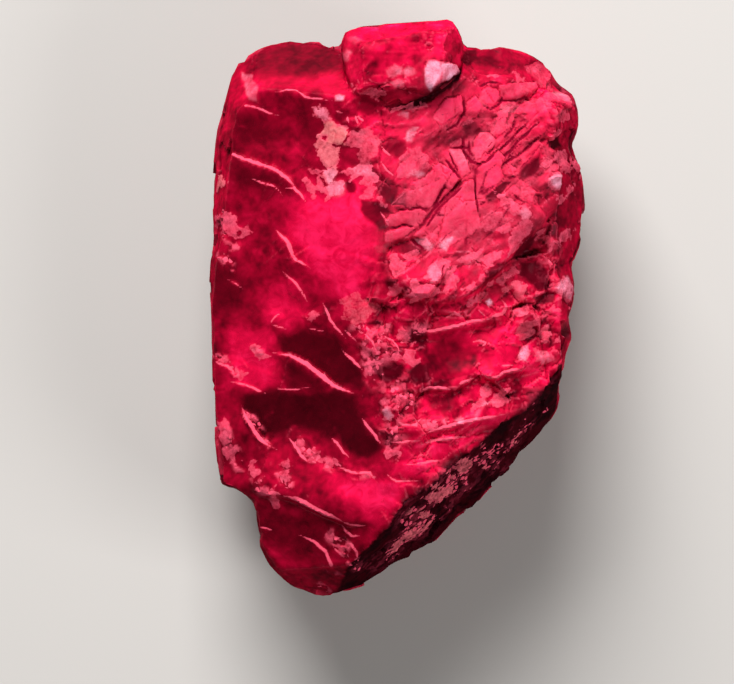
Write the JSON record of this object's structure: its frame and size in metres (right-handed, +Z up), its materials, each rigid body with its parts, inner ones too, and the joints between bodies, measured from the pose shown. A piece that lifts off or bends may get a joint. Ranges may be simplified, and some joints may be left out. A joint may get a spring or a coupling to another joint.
{
  "type": "raw ruby crystal",
  "caption": "Rough, broken piece of red corundum: a blocky crystal that tapers to one end, with a flat parting face to lie on.",
  "frame": {"origin": "centre of the crystal's bounding box, on its flat parting face", "axes": "+Y along the crystal from the pointed end to the cap, +X across it to the chipped side, +Z up from the parting face to the broken front"},
  "size_m": [0.0196, 0.03, 0.0126],
  "materials": {
    "ruby": "glassy broken faces, partly frosted"
  },
  "bodies": {
    "root": {"ruby_crystal": "ruby"}
  },
  "joints": []
}
